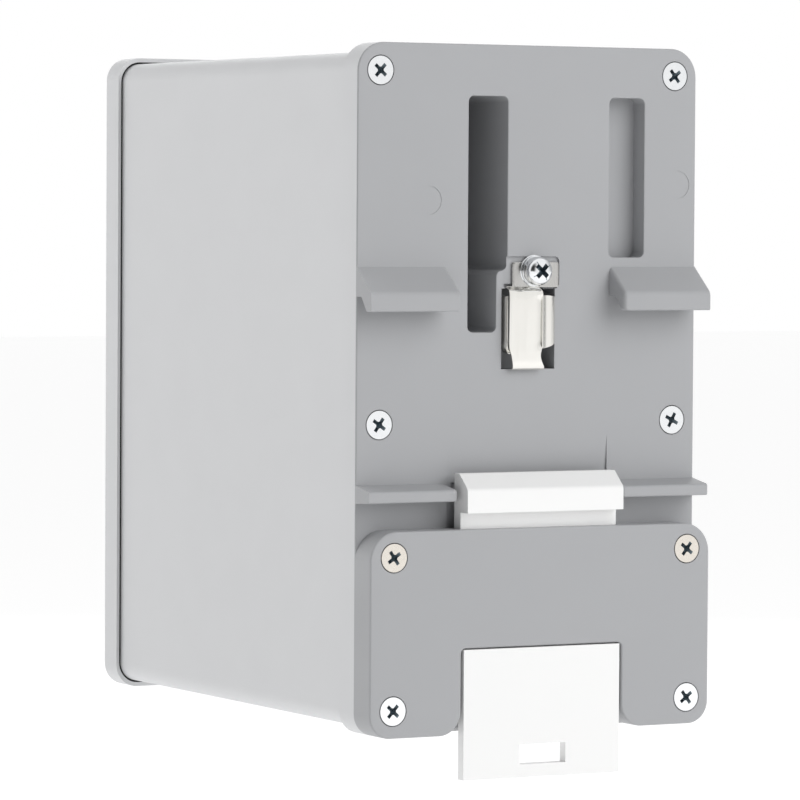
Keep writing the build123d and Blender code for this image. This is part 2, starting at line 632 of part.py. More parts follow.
def make_power_pins():
    return group(block((x - 0.5, x + 0.5), (PORT_BOARD_Y - 9.5, PORT_BOARD_Y + 2.6),
                       (POWER_Z - 1.3, POWER_Z - 0.3)) for x in way_xs)


keep("power_pins", make_power_pins())
keep("power_header", make_power_header() - make_power_pins())
keep("power_plug", make_power_plug())


def terminal_screw(x):
    """Slotted clamping screw, head towards the front."""
    screw = rod(x, POWER_Z + 2.0, 1.45, PLUG_FACE + 1.0, PLUG_FACE + 3.5)
    return screw - block((x - 1.5, x + 1.5), (PLUG_FACE, PLUG_FACE + 1.7), (POWER_Z + 1.75, POWER_Z + 2.25))


keep("plug_screws", group(terminal_screw(x) for x in way_xs))


def make_lights():
    """Clear light pipes, from just proud of the overlay back to the lamps on the board."""
    return group(rod(x, z, LIGHT_R, OVERLAY_FRONT, PORT_BOARD_Y - 1.4) for x, z in light_places())


keep("light_pipes", make_lights())
keep("status_leds", group(block((x - 0.8, x + 0.8), (PORT_BOARD_Y - 1.1, PORT_BOARD_Y), (z - 0.6, z + 0.6))
                          for x, z in light_places()))


# ---------------------------------------------------------------- boards
def make_board(y, holes):
    board = along_y(rounded(BOARD_HALF_W, BOARD_HALF_H, 2.0), y, y + BOARD_THICK)
    for x, z in FRONT_SCREWS:
        board = board - rod(x, z, 1.65, y - 1, y + 3)
    for cut in holes:
        board = board - cut
    return board


def standoff(x, z, y0, y1):
    """Hexagonal spacer with a threaded stud at its front end and a tapped hole at its rear."""
    body = along_y(Pos(x, z) * hexagon(STANDOFF_FLATS), y0, y1)
    body = body - rod(x, z, 1.6, y1 - 8, y1 + 1)
    return body + rod(x, z, M3_R, y0 - BOARD_THICK - 5.0, y0)


front_y = PORT_BOARD_Y + BOARD_THICK
logic_y = LOGIC_BOARD_Y + BOARD_THICK
header_slot = block((POWER_X - 15, POWER_X + 15), (PORT_BOARD_Y - 1, PORT_BOARD_Y + 3),
                    (POWER_Z - 1.5, POWER_Z - 0.1))
keep("port_board", make_board(PORT_BOARD_Y, [header_slot]))
keep("logic_board", make_board(LOGIC_BOARD_Y, []))
keep("power_board", make_board(POWER_BOARD_Y, []))
keep("front_standoffs", group(standoff(x, z, front_y, LOGIC_BOARD_Y) for x, z in FRONT_SCREWS))
keep("rear_standoffs", group(standoff(x, z, logic_y, POWER_BOARD_Y) for x, z in FRONT_SCREWS))
keep("board_screws", group(pan_screw(x, POWER_BOARD_Y + BOARD_THICK, z, 6.0, 30) for x, z in FRONT_SCREWS))


def stacking_connector(x0, x1, z, y0, y1):
    """Two-row socket and header between two boards, as one joined pair."""
    lower = block((x0, x1), (y0, y0 + 8.5), (z - 2.5, z + 2.5))
    upper = block((x0, x1), (y0 + 8.5, y1), (z - 2.5, z + 2.5))
    return lower, upper


port_socket, logic_header = stacking_connector(-18, 18, -56.5, front_y, LOGIC_BOARD_Y)
logic_socket, power_tail = stacking_connector(-12, 12, 56.5, logic_y, POWER_BOARD_Y)
keep("port_board_socket", port_socket)
keep("logic_board_header", logic_header)
keep("logic_board_socket", logic_socket)
keep("power_board_header", power_tail)

# line transformers behind the jacks, switch processor with its heat sink
keep("line_transformers", group(block((x - 8, x + 8), (front_y, front_y + 5.5), (z - 6.5, z + 6.5))
                                for x in (-19, 19) for z in (26, 5, -16, -37)))
keep("switch_processor", block((-11.5, 11.5), (LOGIC_BOARD_Y - 2.2, LOGIC_BOARD_Y), (-6.5, 16.5)))


def make_heat_sink():
    y = LOGIC_BOARD_Y - 2.2
    sink = block((-13, 13), (y - 2.2, y), (-8, 18))
    for i in range(7):
        x = -12.4 + i * 3.9
        sink = sink + block((x, x + 1.3), (y - 9, y - 2.2), (-8, 18))
    return sink


keep("processor_heat_sink", make_heat_sink())

# supply components on the front side of the power board
back = POWER_BOARD_Y


def electrolytic(x, z, radius, height):
    can = rod(x, z, radius, back - height, back)
    return fillet(can.faces().sort_by(Axis.Y)[0].edges(), 0.6)


def make_transformer():
    core = block((-8, 14), (back - 16, back - 1.5), (-12, 12))
    bobbin = block((-10, 16), (back - 1.5, back), (-13, 13))
    return core + bobbin + block((-4, 10), (back - 17.5, back - 1.5), (-13, 13))


keep("power_transformer", make_transformer())
keep("input_capacitors", group(electrolytic(x, z, 5.0, 20) for x, z in ((-24, 34), (-24, 22), (-12, 34))))
keep("output_capacitors", group(electrolytic(x, z, 4.0, 14) for x, z in ((24, -24), (24, -35), (14, -35))))
keep("supply_choke", rod(-20, -2, 7.5, back - 8, back) - rod(-20, -2, 3.2, back - 9, back + 1))
keep("alarm_relay", block((-28, -8), (back - 12, back), (-42, -28)))
keep("input_fuse", block((16, 28), (back - 7, back), (26, 32)))
keep("power_regulators", group(block((x - 5, x + 5), (back - 4.6, back), (-52, -42)) for x in (-2, 12)))


def make_earth_strap():
    """Braid lug under the earth insert, led to the power board's rear face."""
    ring = rod(EARTH_X, EARTH_Z, 3.2, -12.8, -12.1)
    drop = block((EARTH_X - 1.5, EARTH_X + 1.5), (-12.8, -12.1), (2.0, EARTH_Z))
    leg = block((EARTH_X - 1.5, EARTH_X + 1.5), (POWER_BOARD_Y + BOARD_THICK, -12.1), (2.0, 2.7))
    return ring + drop + leg


keep("earth_strap", make_earth_strap())

# ---------------------------------------------------------------- export
os.makedirs("parts", exist_ok=True)
for node, shape in PARTS.items():
    export_step(shape, f"parts/{node}.step")
print(len(PARTS), "nodes written")
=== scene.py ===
import json
import math

import bmesh
import bpy
from mathutils import Matrix, Vector


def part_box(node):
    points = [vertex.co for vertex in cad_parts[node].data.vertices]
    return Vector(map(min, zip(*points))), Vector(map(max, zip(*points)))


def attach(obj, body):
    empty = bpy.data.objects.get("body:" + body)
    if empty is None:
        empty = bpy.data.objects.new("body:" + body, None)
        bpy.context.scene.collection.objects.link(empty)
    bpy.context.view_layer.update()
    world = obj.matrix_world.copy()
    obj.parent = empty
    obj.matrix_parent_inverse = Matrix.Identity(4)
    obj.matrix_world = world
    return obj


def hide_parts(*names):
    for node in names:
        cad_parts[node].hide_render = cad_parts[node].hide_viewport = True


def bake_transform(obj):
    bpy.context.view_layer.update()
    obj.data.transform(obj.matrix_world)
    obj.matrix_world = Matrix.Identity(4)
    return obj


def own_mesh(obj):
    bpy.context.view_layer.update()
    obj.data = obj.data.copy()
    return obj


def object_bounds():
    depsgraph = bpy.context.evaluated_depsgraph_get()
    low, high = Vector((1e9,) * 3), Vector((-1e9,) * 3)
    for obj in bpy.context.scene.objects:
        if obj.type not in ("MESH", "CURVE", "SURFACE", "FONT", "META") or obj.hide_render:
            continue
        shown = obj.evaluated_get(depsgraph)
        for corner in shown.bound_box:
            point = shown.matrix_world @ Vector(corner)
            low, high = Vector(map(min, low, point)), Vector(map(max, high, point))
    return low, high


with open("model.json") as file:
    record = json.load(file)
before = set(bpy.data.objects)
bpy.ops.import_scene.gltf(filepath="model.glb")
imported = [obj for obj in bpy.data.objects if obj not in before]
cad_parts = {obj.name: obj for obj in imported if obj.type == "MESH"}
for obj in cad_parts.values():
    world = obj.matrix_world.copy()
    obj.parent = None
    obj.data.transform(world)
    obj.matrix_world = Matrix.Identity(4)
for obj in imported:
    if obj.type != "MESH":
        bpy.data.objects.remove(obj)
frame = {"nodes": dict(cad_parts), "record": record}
cad_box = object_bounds()
MM = 0.001

# ---------------------------------------------------------------- camera
CAMERA_YAW = math.radians(28.413)
CAMERA_PITCH = math.radians(2.243)
CAMERA_ROLL = math.radians(0.343)
CAMERA_DISTANCE = 0.90231
CAMERA_TARGET = Vector((0.02762, 0.0, -0.00178))
SENSOR_WIDTH = 36.0
CAMERA_LENS = 217.1


def place_camera():
    """Long lens behind the unit, to its left-hand side as seen from the rail, slightly above."""
    towards = Vector((math.sin(CAMERA_YAW) * math.cos(CAMERA_PITCH),
                      math.cos(CAMERA_YAW) * math.cos(CAMERA_PITCH), math.sin(CAMERA_PITCH)))
    right = (-towards).cross(Vector((0, 0, 1))).normalized()
    up = right.cross(-towards)
    rolled_right = right * math.cos(CAMERA_ROLL) + up * math.sin(CAMERA_ROLL)
    rolled_up = up * math.cos(CAMERA_ROLL) - right * math.sin(CAMERA_ROLL)
    data = bpy.data.cameras.new("camera")
    data.sensor_width = SENSOR_WIDTH
    data.lens = CAMERA_LENS
    data.clip_start = 0.01
    data.clip_end = 20
    camera = bpy.data.objects.new("camera", data)
    bpy.context.scene.collection.objects.link(camera)
    turn = Matrix((rolled_right, rolled_up, towards)).transposed().to_4x4()
    camera.matrix_world = Matrix.Translation(CAMERA_TARGET + towards * CAMERA_DISTANCE) @ turn
    bpy.context.scene.camera = camera


# ---------------------------------------------------------------- light and floor
FILL_COLOUR = (0.97, 0.985, 1, 1)
FILL_STRENGTH = 0.12
SIDE_POWER = 5.7
TOP_POWER = 4.0
RAIL_SIDE_POWER = 20.8
FRONT_POWER = 2
MODEL_MIDDLE = (0, -0.05, 0)
CAMERA_ROOM = (0.47, 0.87, 0.12)    # the direction in which reflections find a dark room
ROOM_EDGES = (0.72, 0.93)           # cosines from that direction between which it darkens
ROOM_STRENGTHS = (1.15, 0.05)       # outside the room, and in the middle of it
FAR_SIDE_EDGES = (-0.95, -0.68)     # the -X side of the studio, dimmer beyond these
FAR_SIDE_STRENGTHS = (0.5, 1.0)
FLOOR_HALF = 6.0
FLOOR_DROP = 0.09


def soft_box(name, place, aim, size, power, shines=True):
    """Rectangular lamp; one that doesn't shine lights the model but isn't reflected in it."""
    data = bpy.data.lights.new(name, "AREA")
    data.shape = "RECTANGLE"
    data.size, data.size_y = size
    data.energy = power
    lamp = bpy.data.objects.new(name, data)
    bpy.context.scene.collection.objects.link(lamp)
    lamp.location = place
    lamp.visible_glossy = shines
    lamp.rotation_euler = (Vector(aim) - Vector(place)).to_track_quat("-Z", "Y").to_euler()


def studio_world():
    """White to the camera, a faint fill to matt surfaces, and a room with dark parts to gloss."""
    world = bpy.data.worlds.new("studio")
    bpy.context.scene.world = world
    world.use_nodes = True
    nodes = world.node_tree.nodes
    links = world.node_tree.links
    nodes.clear()

    def background(colour, strength):
        made = nodes.new("ShaderNodeBackground")
        made.inputs["Color"].default_value = colour
        made.inputs["Strength"].default_value = strength
        return made

    def ramp(value, edges, strengths):
        made = nodes.new("ShaderNodeMapRange")
        for socket, number in zip(("From Min", "From Max", "To Min", "To Max"), (*edges, *strengths)):
            made.inputs[socket].default_value = number
        links.new(value, made.inputs["Value"])
        return made.outputs["Result"]

    def either(choice, otherwise, chosen):
        made = nodes.new("ShaderNodeMixShader")
        links.new(choice, made.inputs[0])
        links.new(otherwise, made.inputs[1])
        links.new(chosen, made.inputs[2])
        return made.outputs[0]

    direction = nodes.new("ShaderNodeTexCoord").outputs["Generated"]
    nearness = nodes.new("ShaderNodeVectorMath")
    nearness.operation = "DOT_PRODUCT"
    nearness.inputs[1].default_value = Vector(CAMERA_ROOM).normalized()
    links.new(direction, nearness.inputs[0])
    split = nodes.new("ShaderNodeSeparateXYZ")
    links.new(direction, split.inputs[0])
    both = nodes.new("ShaderNodeMath")
    both.operation = "MULTIPLY"
    links.new(ramp(nearness.outputs["Value"], ROOM_EDGES, ROOM_STRENGTHS), both.inputs[0])
    links.new(ramp(split.outputs["X"], FAR_SIDE_EDGES, FAR_SIDE_STRENGTHS), both.inputs[1])
    gloss = nodes.new("ShaderNodeBackground")
    links.new(both.outputs[0], gloss.inputs["Strength"])
    fill = background(FILL_COLOUR, FILL_STRENGTH)
    seen = background((1, 1, 1, 1), 1.0)
    path = nodes.new("ShaderNodeLightPath")
    unseen = either(path.outputs["Is Diffuse Ray"], gloss.outputs[0], fill.outputs[0])
    shown = either(path.outputs["Is Camera Ray"], unseen, seen.outputs[0])
    links.new(shown, nodes.new("ShaderNodeOutputWorld").inputs[0])


def light_studio():
    studio_world()
    soft_box("side_box", (1.0, -0.8, 0.2), MODEL_MIDDLE, (1.0, 1.1), SIDE_POWER)
    soft_box("top_box", (0.1, -0.45, 1.0), MODEL_MIDDLE, (0.9, 0.7), TOP_POWER)
    soft_box("rail_side_box", (-0.65, 1.15, 0.8), (0, 0, 0), (1.5, 1.5), RAIL_SIDE_POWER, shines=False)
    soft_box("front_box", (-0.6, -1.1, 0.4), (0, 0, 0), (0.8, 0.9), FRONT_POWER)
    bpy.context.scene.view_settings.view_transform = "Standard"


def lay_floor():
    mesh = bpy.data.meshes.new("floor")
    half = FLOOR_HALF
    level = cad_box[0][2] - FLOOR_DROP
    corners = [(-half, -half, level), (half, -half, level), (half, half, level), (-half, half, level)]
    mesh.from_pydata(corners, [], [(0, 1, 2, 3)])
    floor = bpy.data.objects.new("floor", mesh)
    bpy.context.scene.collection.objects.link(floor)
    material = bpy.data.materials.new("pale_floor")
    material.use_nodes = True
    shader = material.node_tree.nodes["Principled BSDF"]
    shader.inputs["Base Color"].default_value = (0.22, 0.22, 0.22, 1)
    shader.inputs["Roughness"].default_value = 0.8
    shader.inputs["Emission Color"].default_value = (1, 1, 1, 1)
    shader.inputs["Emission Strength"].default_value = 0.84
    mesh.materials.append(material)


# ---------------------------------------------------------------- finishes
class Finish:
    """A node-based material: a Principled shader with patterns in object space, in metres."""

    def __init__(self, name):
        self.material = bpy.data.materials.new(name)
        self.material.use_nodes = True
        self.tree = self.material.node_tree
        self.shader = self.tree.nodes["Principled BSDF"]
        self.space = self.node("ShaderNodeTexCoord").outputs["Object"]

    def node(self, kind, **settings):
        made = self.tree.nodes.new(kind)
        for key, value in settings.items():
            setattr(made, key, value)
        return made

    def link(self, out, into):
        self.tree.links.new(out, into)

    def set(self, **values):
        for key, value in values.items():
            self.shader.inputs[key.replace("_", " ")].default_value = value

    def stretched(self, scale):
        mapping = self.node("ShaderNodeMapping")
        mapping.inputs["Scale"].default_value = scale
        self.link(self.space, mapping.inputs["Vector"])
        return mapping.outputs["Vector"]

    def noise(self, size_mm, detail=2.0, space=None):
        """Noise whose blotches are about size_mm across, from 0 to 1."""
        made = self.node("ShaderNodeTexNoise")
        made.inputs["Scale"].default_value = 1000.0 / size_mm
        made.inputs["Detail"].default_value = detail
        self.link(space or self.space, made.inputs["Vector"])
        return made.outputs["Fac"]

    def spread(self, fac, low, high, from_low=0.3, from_high=0.7):
        made = self.node("ShaderNodeMapRange")
        numbers = (from_low, from_high, low, high)
        for socket, value in zip(("From Min", "From Max", "To Min", "To Max"), numbers):
            made.inputs[socket].default_value = value
        self.link(fac, made.inputs["Value"])
        return made.outputs["Result"]

    def between(self, fac, first, second):
        mix = self.node("ShaderNodeMix", data_type="RGBA")
        mix.inputs[6].default_value = (*first, 1)
        mix.inputs[7].default_value = (*second, 1)
        self.link(fac, mix.inputs[0])
        return mix.outputs[2]

    def colour(self, fac, first, second):
        self.link(self.between(fac, first, second), self.shader.inputs["Base Color"])

    def roughness(self, fac, low, high):
        self.link(self.spread(fac, low, high), self.shader.inputs["Roughness"])

    def bump(self, *layers):
        """Layers are (height from 0 to 1, depth in millimetres)."""
        normal = None
        for height, depth_mm in layers:
            made = self.node("ShaderNodeBump")
            made.inputs["Strength"].default_value = 1.0
            made.inputs["Distance"].default_value = depth_mm * MM
            self.link(height, made.inputs["Height"])
            if normal is not None:
                self.link(normal, made.inputs["Normal"])
            normal = made.outputs["Normal"]
        self.link(normal, self.shader.inputs["Normal"])


def mm(x, y, z):
    return Vector((x, y, z)) * MM


def scaled(colour, factor):
    return tuple(min(1.0, channel * factor) for channel in colour)


def moulded(name, colour, rough=0.5, grain_mm=0.35, grain_depth=0.004, mottle=0.02):
    """Injection moulding: spark-eroded grain, faint flow mottling and uneven sheen."""
    f = Finish(name)
    flow = f.noise(45, 3.0, f.stretched((1, 1, 0.45)))
    f.colour(flow, scaled(colour, 1 - mottle), scaled(colour, 1 + mottle))
    f.roughness(f.noise(9, 3.0), rough - 0.05, rough + 0.05)
    f.bump((f.noise(grain_mm, 2.0), grain_depth), (f.noise(18, 1.0), 0.006))
    return f.material


LIGHT_GREY = (0.66, 0.665, 0.675)
PLATE_GREY = (0.385, 0.39, 0.402)
PLATE_MIDDLE_Z = 0.2
PLATE_HALF_WIDTH = 36.9
PLATE_HALF_HEIGHT = 64.8
PLATE_CORNER = 5
SKIRT_RADIUS = 4.4      # the light band lies outside this radius about each corner's centre
SKIRT_START = -0.3      # and behind this depth
SOCKET_SHIELD_END = -107.5


def plate_with_light_skirt():
    """Grey moulding whose outer edge band, behind the face, is the housing's lighter grey."""
    f = Finish("plate_plastic")
    flow = f.noise(45, 3.0, f.stretched((1, 1, 0.45)))
    face = f.between(flow, scaled(PLATE_GREY, 0.98), scaled(PLATE_GREY, 1.02))
    skirt = f.between(flow, scaled(LIGHT_GREY, 0.98), scaled(LIGHT_GREY, 1.02))
    centred = f.node("ShaderNodeVectorMath", operation="SUBTRACT")
    centred.inputs[1].default_value = mm(0, 0, PLATE_MIDDLE_Z)
    f.link(f.space, centred.inputs[0])
    folded = f.node("ShaderNodeVectorMath", operation="ABSOLUTE")
    f.link(centred.outputs[0], folded.inputs[0])
    beyond = f.node("ShaderNodeVectorMath", operation="SUBTRACT")
    beyond.inputs[1].default_value = mm(PLATE_HALF_WIDTH - PLATE_CORNER, 1000,
                                        PLATE_HALF_HEIGHT - PLATE_CORNER)
    f.link(folded.outputs[0], beyond.inputs[0])
    corner = f.node("ShaderNodeVectorMath", operation="MAXIMUM")
    corner.inputs[1].default_value = (0, 0, 0)
    f.link(beyond.outputs[0], corner.inputs[0])
    reach = f.node("ShaderNodeVectorMath", operation="LENGTH")
    f.link(corner.outputs[0], reach.inputs[0])
    outer = f.node("ShaderNodeMath", operation="GREATER_THAN")
    outer.inputs[1].default_value = SKIRT_RADIUS * MM
    f.link(reach.outputs["Value"], outer.inputs[0])
    split = f.node("ShaderNodeSeparateXYZ")
    f.link(f.space, split.inputs[0])
    behind = f.node("ShaderNodeMath", operation="LESS_THAN")
    behind.inputs[1].default_value = SKIRT_START * MM
    f.link(split.outputs["Y"], behind.inputs[0])
    both = f.node("ShaderNodeMath", operation="MULTIPLY")
    f.link(outer.outputs[0], both.inputs[0])
    f.link(behind.outputs[0], both.inputs[1])
    mix = f.node("ShaderNodeMix", data_type="RGBA")
    f.link(both.outputs[0], mix.inputs[0])
    f.link(face, mix.inputs[6])
    f.link(skirt, mix.inputs[7])
    f.link(mix.outputs[2], f.shader.inputs["Base Color"])
    f.roughness(f.noise(9, 3.0), 0.47, 0.57)
    f.bump((f.noise(0.35, 2.0), 0.004), (f.noise(18, 1.0), 0.006))
    return f.material


def plated(name, colour, rough=0.22, tint=None, streak=(1, 1, 1), streak_mm=1.2):
    """Plated steel: faint clouding of the plate and fine drawing marks."""
    f = Finish(name)
    cloud = f.noise(streak_mm, 4.0, f.stretched(streak))
    f.colour(cloud, scaled(colour, 0.93), tint or colour)
    f.roughness(cloud, rough * 0.75, rough * 1.3)
    f.bump((cloud, 0.0022), (f.noise(0.12, 2.0), 0.0006))
    f.set(Metallic=1.0)
    return f.material


def circuit_board():
    """Green solder resist with faint tracks under it."""
    f = Finish("circuit_board")
    tracks = f.node("ShaderNodeTexBrick")
    tracks.inputs["Scale"].default_value = 260
    tracks.inputs["Mortar Size"].default_value = 0.05
    f.link(f.stretched((1, 1, 2.3)), tracks.inputs["Vector"])
    f.colour(tracks.outputs["Fac"], (0.012, 0.105, 0.035), (0.03, 0.2, 0.075))
    f.roughness(f.noise(3), 0.25, 0.4)
    f.bump((tracks.outputs["Fac"], 0.012))
    return f.material


def clear_pipe():
    f = Finish("light_pipe")
    f.colour(f.noise(2.0), (0.80, 0.86, 0.80), (0.92, 0.95, 0.92))
    f.roughness(f.noise(0.5), 0.12, 0.3)
    f.set(Transmission_Weight=0.55, IOR=1.49)
    return f.material


def shield_with_dark_inside():
    """Tinned shield at the face of a socket, with its moulded black inside behind it."""
    f = Finish("connector_shield")
    cloud = f.noise(1.2, 4.0, f.stretched((1, 0.2, 1)))
    tin = f.between(cloud, (0.50, 0.50, 0.49), (0.60, 0.60, 0.58))
    split = f.node("ShaderNodeSeparateXYZ")
    f.link(f.space, split.inputs[0])
    inside = f.node("ShaderNodeMath", operation="GREATER_THAN")
    inside.inputs[1].default_value = SOCKET_SHIELD_END * MM
    f.link(split.outputs["Y"], inside.inputs[0])
    mix = f.node("ShaderNodeMix", data_type="RGBA")
    mix.inputs[7].default_value = (0.02, 0.02, 0.022, 1)
    f.link(inside.outputs[0], mix.inputs[0])
    f.link(tin, mix.inputs[6])
    f.link(mix.outputs[2], f.shader.inputs["Base Color"])
    f.link(f.spread(inside.outputs[0], 1.0, 0.0, 0.0, 1.0), f.shader.inputs["Metallic"])
    f.roughness(cloud, 0.2, 0.36)
    f.bump((cloud, 0.0022))
    return f.material


FINISHES = {
    "housing_plastic": lambda: moulded("housing_plastic", LIGHT_GREY, 0.48),
    "plate_plastic": plate_with_light_skirt,
    "latch_plastic": lambda: moulded("latch_plastic", (0.88, 0.88, 0.875), 0.42, 0.5, 0.002, 0.008),
    "spring_steel": lambda: plated("spring_steel", (0.55, 0.55, 0.57), 0.28),
    "nickel_strip": lambda: plated("nickel_strip", (0.91, 0.895, 0.85), 0.2, (0.94, 0.925, 0.885),
                                   streak=(1, 1, 0.1)),
    "zinc_steel": lambda: plated("zinc_steel", (0.93, 0.95, 0.97), 0.13, (0.96, 0.97, 0.98)),
    "nickel_steel": lambda: plated("nickel_steel", (0.80, 0.75, 0.68), 0.26, (0.85, 0.80, 0.73)),
    "brass": lambda: plated("brass", (0.74, 0.55, 0.24), 0.25, (0.80, 0.62, 0.30)),
    "tinned_copper": lambda: plated("tinned_copper", (0.72, 0.69, 0.64), 0.35, (0.78, 0.74, 0.68)),
    "gasket_rubber": lambda: moulded("gasket_rubber", (0.012, 0.012, 0.013), 0.75, 0.2, 0.01, 0.2),
    "panel_film": lambda: moulded("panel_film", (0.045, 0.052, 0.065), 0.42, 0.12, 0.004, 0.06),
    "connector_shield": shield_with_dark_inside,
    "connector_black": lambda: moulded("connector_black", (0.018, 0.018, 0.02), 0.45, 0.3, 0.004, 0.1),
    "switch_body": lambda: moulded("switch_body", (0.02, 0.07, 0.26), 0.35, 0.3, 0.003, 0.08),
    "lever_white": lambda: moulded("lever_white", (0.85, 0.85, 0.82), 0.4, 0.3, 0.002, 0.02),
    "gold_pin": lambda: plated("gold_pin", (0.85, 0.62, 0.24), 0.2, (0.90, 0.70, 0.32)),
    "plug_plastic": lambda: moulded("plug_plastic", (0.03, 0.2, 0.065), 0.45, 0.4, 0.004, 0.06),
    "light_pipe": clear_pipe,
    "lamp_resin": lambda: moulded("lamp_resin", (0.35, 0.62, 0.2), 0.2, 0.8, 0.001, 0.08),
    "circuit_board": circuit_board,
    "chip_epoxy": lambda: moulded("chip_epoxy", (0.02, 0.02, 0.022), 0.6, 0.15, 0.01, 0.15),
    "heat_sink_metal": lambda: plated("heat_sink_metal", (0.16, 0.16, 0.17), 0.4, (0.2, 0.2, 0.21),
                                      streak=(1, 1, 0.08)),
    "ferrite": lambda: moulded("ferrite", (0.05, 0.05, 0.055), 0.7, 0.3, 0.02, 0.15),
    "capacitor_sleeve": lambda: moulded("capacitor_sleeve", (0.015, 0.02, 0.06), 0.3, 1.0, 0.002, 0.1),
    "relay_case": lambda: moulded("relay_case", (0.02, 0.06, 0.28), 0.3, 0.6, 0.003, 0.06),
    "fuse_case": lambda: moulded("fuse_case", (0.5, 0.38, 0.08), 0.3, 0.6, 0.003, 0.06),
}
finish = {slot: make() for slot, make in FINISHES.items()}
finish["nickel_foot"] = plated("nickel_foot", (0.56, 0.555, 0.54), 0.24, (0.62, 0.61, 0.59),
                               streak=(1, 1, 0.15))
finish["panel_print"] = moulded("panel_print", (0.72, 0.73, 0.74), 0.5, 0.2, 0.002, 0.03)
# Dark bluish finish for the walls of driver recesses: painted shade, together with the dull residue that
# plating leaves there.
finish["recess_residue_and_shade"] = plated("recess_residue_and_shade", (0.2, 0.26, 0.3), 0.42, (0.3, 0.35, 0.38))
slot_of = {row["node"]: row["material_slot"] for row in frame["record"]["subparts"]}


# ---------------------------------------------------------------- carried-over CAD nodes
def rounded_shading(limit_degrees=32):
    """Tree that joins a node's triangles and shades them smooth across gentle edges."""
    tree = bpy.data.node_groups.new("rounded_shading", "GeometryNodeTree")
    tree.interface.new_socket("Geometry", in_out="INPUT", socket_type="NodeSocketGeometry")
    tree.interface.new_socket("Geometry", in_out="OUTPUT", socket_type="NodeSocketGeometry")
    start = tree.nodes.new("NodeGroupInput")
    end = tree.nodes.new("NodeGroupOutput")
    merge = tree.nodes.new("GeometryNodeMergeByDistance")
    merge.inputs["Distance"].default_value = 1e-6
    angle = tree.nodes.new("GeometryNodeInputMeshEdgeAngle")
    sharp = tree.nodes.new("FunctionNodeCompare")
    sharp.operation = "LESS_THAN"
    sharp.inputs[1].default_value = math.radians(limit_degrees)
    faces = tree.nodes.new("GeometryNodeSetShadeSmooth")
    edges = tree.nodes.new("GeometryNodeSetShadeSmooth")
    edges.domain = "EDGE"
    tree.links.new(start.outputs[0], merge.inputs["Geometry"])
    tree.links.new(merge.outputs[0], faces.inputs["Geometry"])
    tree.links.new(faces.outputs[0], edges.inputs["Geometry"])
    tree.links.new(angle.outputs["Unsigned Angle"], sharp.inputs[0])
    tree.links.new(sharp.outputs[0], edges.inputs["Shade Smooth"])
    tree.links.new(edges.outputs[0], end.inputs[0])
    return tree


def dress_cad_nodes():
    tree = rounded_shading()
    for name, node in frame["nodes"].items():
        node.data.materials.clear()
        node.data.materials.append(finish[slot_of[name]])
        if node.data.attributes.get("custom_normal"):
            node.data.attributes.remove(node.data.attributes["custom_normal"])
        modifier = node.modifiers.new("rounded_shading", "NODES")
        modifier.node_group = tree


# ---------------------------------------------------------------- making pieces
def settle(name, mesh, slot, body="root", smooth_degrees=35):
    """Put a finished mesh at the origin with outward faces and its own finish, riding on a body."""
    work = bmesh.new()
    work.from_mesh(mesh)
    bmesh.ops.remove_doubles(work, verts=work.verts, dist=1e-6)
    bmesh.ops.recalc_face_normals(work, faces=work.faces)
    for face in work.faces:
        face.smooth = True
    for edge in work.edges:
        edge.smooth = len(edge.link_faces) == 2 and edge.calc_face_angle() < math.radians(smooth_degrees)
    work.to_mesh(mesh)
    work.free()
    mesh.materials.clear()
    mesh.materials.append(finish[slot])
    piece = bpy.data.objects.new(name, mesh)
    bpy.context.scene.collection.objects.link(piece)
    if body:
        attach(piece, body)
    return piece


def baked(piece):
    """Plain mesh of an object with its modifiers applied; the object is removed."""
    bpy.context.view_layer.update()
    mesh = bpy.data.meshes.new_from_object(piece.evaluated_get(bpy.context.evaluated_depsgraph_get()))
    bpy.data.objects.remove(piece)
    return mesh


def grown(name, mesh, tree, sizes):
    """Mesh that a Geometry Nodes tree makes from a starting mesh, with its named sizes filled in."""
    seed = bpy.data.objects.new(name + "_seed", mesh)
    bpy.context.scene.collection.objects.link(seed)
    modifier = seed.modifiers.new("grow", "NODES")
    modifier.node_group = tree
    for item in tree.interface.items_tree:
        if item.item_type == "SOCKET" and item.in_out == "INPUT" and item.name in sizes:
            modifier[item.identifier] = sizes[item.name]
    return baked(seed)


